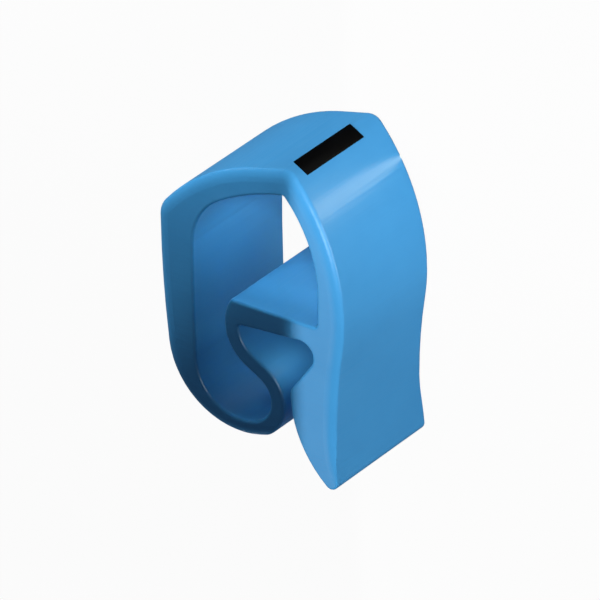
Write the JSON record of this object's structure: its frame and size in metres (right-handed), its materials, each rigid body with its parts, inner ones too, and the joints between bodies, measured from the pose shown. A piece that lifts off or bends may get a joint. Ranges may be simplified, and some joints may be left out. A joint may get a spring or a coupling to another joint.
{
  "type": "cable marker",
  "caption": "Slip-on cable marker in soft blue plastic: a closed springy sleeve with a ridged top, a rolled foot and a slanted leg, marked with one dark bar.",
  "frame": {"origin": "centre of the outline's bounding box, on the cut end that the marker lies on", "axes": "+Z along the extrusion, towards the front cut end; -Y towards the printed ridge; +X towards the left wall, away from the leg's wall"},
  "size_m": [0.0084, 0.013, 0.006],
  "materials": {
    "body": "soft extruded PVC, light blue, satin",
    "print": "printed black ink"
  },
  "bodies": {
    "root": {"marker_body": "body"}
  },
  "joints": []
}
